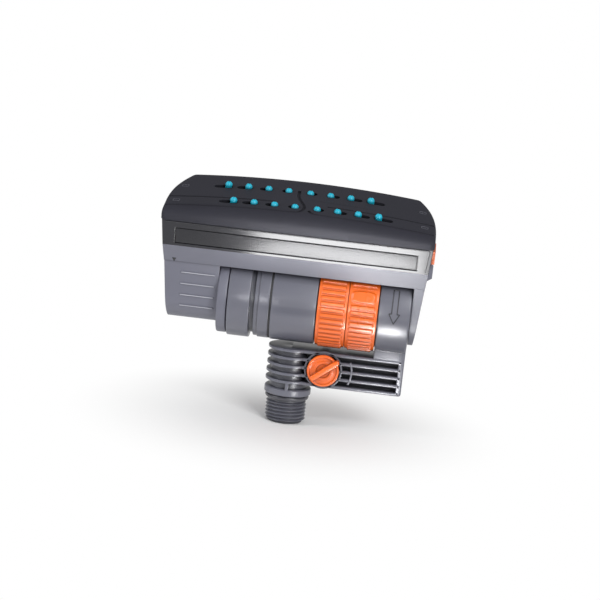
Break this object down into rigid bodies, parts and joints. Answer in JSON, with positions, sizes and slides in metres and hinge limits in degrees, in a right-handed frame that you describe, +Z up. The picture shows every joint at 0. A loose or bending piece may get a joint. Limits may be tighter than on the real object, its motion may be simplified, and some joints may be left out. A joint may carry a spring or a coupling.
{
  "type": "oscillating sprinkler",
  "caption": "Oscillating lawn sprinkler: a swinging head with flexible nozzles over a turbine drum with sector rings, a flow knob and a threaded inlet.",
  "frame": {"origin": "centre of the inlet thread at its lower end", "axes": "+Z up along the inlet, +X along the drum towards the water chamber, -Y towards the panel and the flow knob"},
  "size_m": [0.1378, 0.0553, 0.1231],
  "materials": {
    "body_grey": "satin moulded",
    "head_dark": "satin moulded",
    "lid_dark": "fine matte grain",
    "insert_dark": "grained",
    "orange_plastic": "satin gloss",
    "white_plastic": "natural",
    "black_nylon": "natural",
    "steel": "drawn",
    "black_rubber": "matte",
    "teal_elastomer": "smooth"
  },
  "bodies": {
    "base": {"inlet_base": "body_grey", "inlet_seal": "black_rubber", "inlet_filter": "white_plastic", "drive_housing": "body_grey", "housing_seal": "black_rubber", "gearbox_cap": "body_grey", "gear_plate_left": "white_plastic", "gear_plate_right": "white_plastic", "gear_pins": "steel", "turbine_guide": "white_plastic"},
    "knob": {"flow_knob": "orange_plastic", "valve_plug": "white_plastic", "valve_seal": "black_rubber"},
    "ring_left": {"sector_ring_left": "orange_plastic"},
    "ring_right": {"sector_ring_right": "orange_plastic"},
    "turbine": {"turbine_wheel": "white_plastic", "turbine_shaft": "steel"},
    "first_gear": {"first_gear": "white_plastic"},
    "second_gear": {"second_gear": "white_plastic"},
    "output_pinion": {"output_pinion": "white_plastic"},
    "reversing_flap": {"reversing_flap": "white_plastic"},
    "head": {"head_shell": "head_dark", "front_insert": "insert_dark", "nozzle_lid": "lid_dark", "manifold": "black_nylon", "manifold_cover": "black_nylon", "manifold_gasket": "black_rubber", "manifold_screws": "steel", "feed_elbow": "black_nylon", "output_gear": "white_plastic", "pivot_collar": "head_dark", "pivot_cap": "head_dark"},
    "fan": {"fan_plate": "black_nylon", "width_slider": "orange_plastic"},
    "nozzle_back_1": {"nozzle_back_1": "teal_elastomer"},
    "nozzle_back_2": {"nozzle_back_2": "teal_elastomer"},
    "nozzle_back_3": {"nozzle_back_3": "teal_elastomer"},
    "nozzle_back_4": {"nozzle_back_4": "teal_elastomer"},
    "nozzle_back_5": {"nozzle_back_5": "teal_elastomer"},
    "nozzle_back_6": {"nozzle_back_6": "teal_elastomer"},
    "nozzle_back_7": {"nozzle_back_7": "teal_elastomer"},
    "nozzle_back_8": {"nozzle_back_8": "teal_elastomer"},
    "nozzle_front_1": {"nozzle_front_1": "teal_elastomer"},
    "nozzle_front_2": {"nozzle_front_2": "teal_elastomer"},
    "nozzle_front_3": {"nozzle_front_3": "teal_elastomer"},
    "nozzle_front_4": {"nozzle_front_4": "teal_elastomer"},
    "nozzle_front_5": {"nozzle_front_5": "teal_elastomer"},
    "nozzle_front_6": {"nozzle_front_6": "teal_elastomer"},
    "nozzle_front_7": {"nozzle_front_7": "teal_elastomer"},
    "nozzle_front_8": {"nozzle_front_8": "teal_elastomer"}
  },
  "joints": [
    {"name": "head_swing", "type": "hinge", "parent": "base", "child": "head", "pos_m": [0, 0, 0.06474], "axis": [1, 0, 0], "range_deg": [-73, 47]},
    {"name": "output_pinion_spin", "type": "hinge", "parent": "base", "child": "output_pinion", "pos_m": [0, 0, 0.0543], "axis": [1, 0, 0], "range_deg": [-95, 147]},
    {"name": "turbine_spin", "type": "hinge", "parent": "base", "child": "turbine", "pos_m": [0, 0, 0.06474], "axis": [1, 0, 0], "continuous": true},
    {"name": "first_gear_spin", "type": "hinge", "parent": "base", "child": "first_gear", "pos_m": [0, 0, 0.07518], "axis": [1, 0, 0], "continuous": true},
    {"name": "second_gear_spin", "type": "hinge", "parent": "base", "child": "second_gear", "pos_m": [0, 0, 0.06474], "axis": [1, 0, 0], "continuous": true},
    {"name": "reversing_flap_tip", "type": "hinge", "parent": "base", "child": "reversing_flap", "pos_m": [0, 0, 0.07274], "axis": [1, 0, 0], "range_deg": [-12, 12]},
    {"name": "ring_left_turn", "type": "hinge", "parent": "base", "child": "ring_left", "pos_m": [0, 0, 0.06474], "axis": [1, 0, 0], "range_deg": [-45, 45]},
    {"name": "ring_right_turn", "type": "hinge", "parent": "base", "child": "ring_right", "pos_m": [0, 0, 0.06474], "axis": [1, 0, 0], "range_deg": [-45, 45]},
    {"name": "flow_knob_turn", "type": "hinge", "parent": "base", "child": "knob", "pos_m": [0.0176, 0, 0.03067], "axis": [0, -1, 0], "range_deg": [-38, 52]},
    {"name": "width_slide", "type": "slide", "parent": "head", "child": "fan", "axis": [0, 0.9744, 0.225], "range_m": [0, 0.004]},
    {"name": "nozzle_back_1_lean", "type": "hinge", "parent": "head", "child": "nozzle_back_1", "pos_m": [-0.041, 0.00165, 0.10515], "axis": [0, -0.9744, -0.225], "range_deg": [-0.2, 20.2]},
    {"name": "nozzle_back_2_lean", "type": "hinge", "parent": "head", "child": "nozzle_back_2", "pos_m": [-0.0307, 0.00165, 0.10515], "axis": [0, -0.9744, -0.225], "range_deg": [-0.2, 15.2]},
    {"name": "nozzle_back_3_lean", "type": "hinge", "parent": "head", "child": "nozzle_back_3", "pos_m": [-0.0204, 0.00165, 0.10515], "axis": [0, -0.9744, -0.225], "range_deg": [-0.2, 10.2]},
    {"name": "nozzle_back_4_lean", "type": "hinge", "parent": "head", "child": "nozzle_back_4", "pos_m": [-0.0101, 0.00165, 0.10515], "axis": [0, -0.9744, -0.225], "range_deg": [-0.2, 5.2]},
    {"name": "nozzle_back_5_lean", "type": "hinge", "parent": "head", "child": "nozzle_back_5", "pos_m": [0.001, 0.00165, 0.10515], "axis": [0, 0.9744, 0.225], "range_deg": [-0.2, 5.2]},
    {"name": "nozzle_back_6_lean", "type": "hinge", "parent": "head", "child": "nozzle_back_6", "pos_m": [0.0113, 0.00165, 0.10515], "axis": [0, 0.9744, 0.225], "range_deg": [-0.2, 10.2]},
    {"name": "nozzle_back_7_lean", "type": "hinge", "parent": "head", "child": "nozzle_back_7", "pos_m": [0.0216, 0.00165, 0.10515], "axis": [0, 0.9744, 0.225], "range_deg": [-0.2, 15.2]},
    {"name": "nozzle_back_8_lean", "type": "hinge", "parent": "head", "child": "nozzle_back_8", "pos_m": [0.0319, 0.00165, 0.10515], "axis": [0, 0.9744, 0.225], "range_deg": [-0.2, 20.2]},
    {"name": "nozzle_front_1_lean", "type": "hinge", "parent": "head", "child": "nozzle_front_1", "pos_m": [-0.0359, -0.0192, 0.10033], "axis": [0, -0.9744, -0.225], "range_deg": [-0.2, 20.2]},
    {"name": "nozzle_front_2_lean", "type": "hinge", "parent": "head", "child": "nozzle_front_2", "pos_m": [-0.0256, -0.0192, 0.10033], "axis": [0, -0.9744, -0.225], "range_deg": [-0.2, 15.2]},
    {"name": "nozzle_front_3_lean", "type": "hinge", "parent": "head", "child": "nozzle_front_3", "pos_m": [-0.0153, -0.0192, 0.10033], "axis": [0, -0.9744, -0.225], "range_deg": [-0.2, 10.2]},
    {"name": "nozzle_front_4_lean", "type": "hinge", "parent": "head", "child": "nozzle_front_4", "pos_m": [-0.005, -0.0192, 0.10033], "axis": [0, -0.9744, -0.225], "range_deg": [-0.2, 5.2]},
    {"name": "nozzle_front_5_lean", "type": "hinge", "parent": "head", "child": "nozzle_front_5", "pos_m": [0.0061, -0.0192, 0.10033], "axis": [0, 0.9744, 0.225], "range_deg": [-0.2, 5.2]},
    {"name": "nozzle_front_6_lean", "type": "hinge", "parent": "head", "child": "nozzle_front_6", "pos_m": [0.0164, -0.0192, 0.10033], "axis": [0, 0.9744, 0.225], "range_deg": [-0.2, 10.2]},
    {"name": "nozzle_front_7_lean", "type": "hinge", "parent": "head", "child": "nozzle_front_7", "pos_m": [0.0267, -0.0192, 0.10033], "axis": [0, 0.9744, 0.225], "range_deg": [-0.2, 15.2]},
    {"name": "nozzle_front_8_lean", "type": "hinge", "parent": "head", "child": "nozzle_front_8", "pos_m": [0.037, -0.0192, 0.10033], "axis": [0, 0.9744, 0.225], "range_deg": [-0.2, 20.2]}
  ],
  "couplings": [
    {"joint": "output_pinion_spin", "follows": "head_swing", "ratio": -2},
    {"joint": "first_gear_spin", "follows": "turbine_spin", "ratio": -0.5},
    {"joint": "second_gear_spin", "follows": "turbine_spin", "ratio": 0.25},
    {"joint": "nozzle_back_1_lean", "follows": "width_slide", "rad_per_m": 87.266},
    {"joint": "nozzle_back_2_lean", "follows": "width_slide", "rad_per_m": 65.45},
    {"joint": "nozzle_back_3_lean", "follows": "width_slide", "rad_per_m": 43.633},
    {"joint": "nozzle_back_4_lean", "follows": "width_slide", "rad_per_m": 21.817},
    {"joint": "nozzle_back_5_lean", "follows": "width_slide", "rad_per_m": 21.817},
    {"joint": "nozzle_back_6_lean", "follows": "width_slide", "rad_per_m": 43.633},
    {"joint": "nozzle_back_7_lean", "follows": "width_slide", "rad_per_m": 65.45},
    {"joint": "nozzle_back_8_lean", "follows": "width_slide", "rad_per_m": 87.266},
    {"joint": "nozzle_front_1_lean", "follows": "width_slide", "rad_per_m": 87.266},
    {"joint": "nozzle_front_2_lean", "follows": "width_slide", "rad_per_m": 65.45},
    {"joint": "nozzle_front_3_lean", "follows": "width_slide", "rad_per_m": 43.633},
    {"joint": "nozzle_front_4_lean", "follows": "width_slide", "rad_per_m": 21.817},
    {"joint": "nozzle_front_5_lean", "follows": "width_slide", "rad_per_m": 21.817},
    {"joint": "nozzle_front_6_lean", "follows": "width_slide", "rad_per_m": 43.633},
    {"joint": "nozzle_front_7_lean", "follows": "width_slide", "rad_per_m": 65.45},
    {"joint": "nozzle_front_8_lean", "follows": "width_slide", "rad_per_m": 87.266}
  ]
}
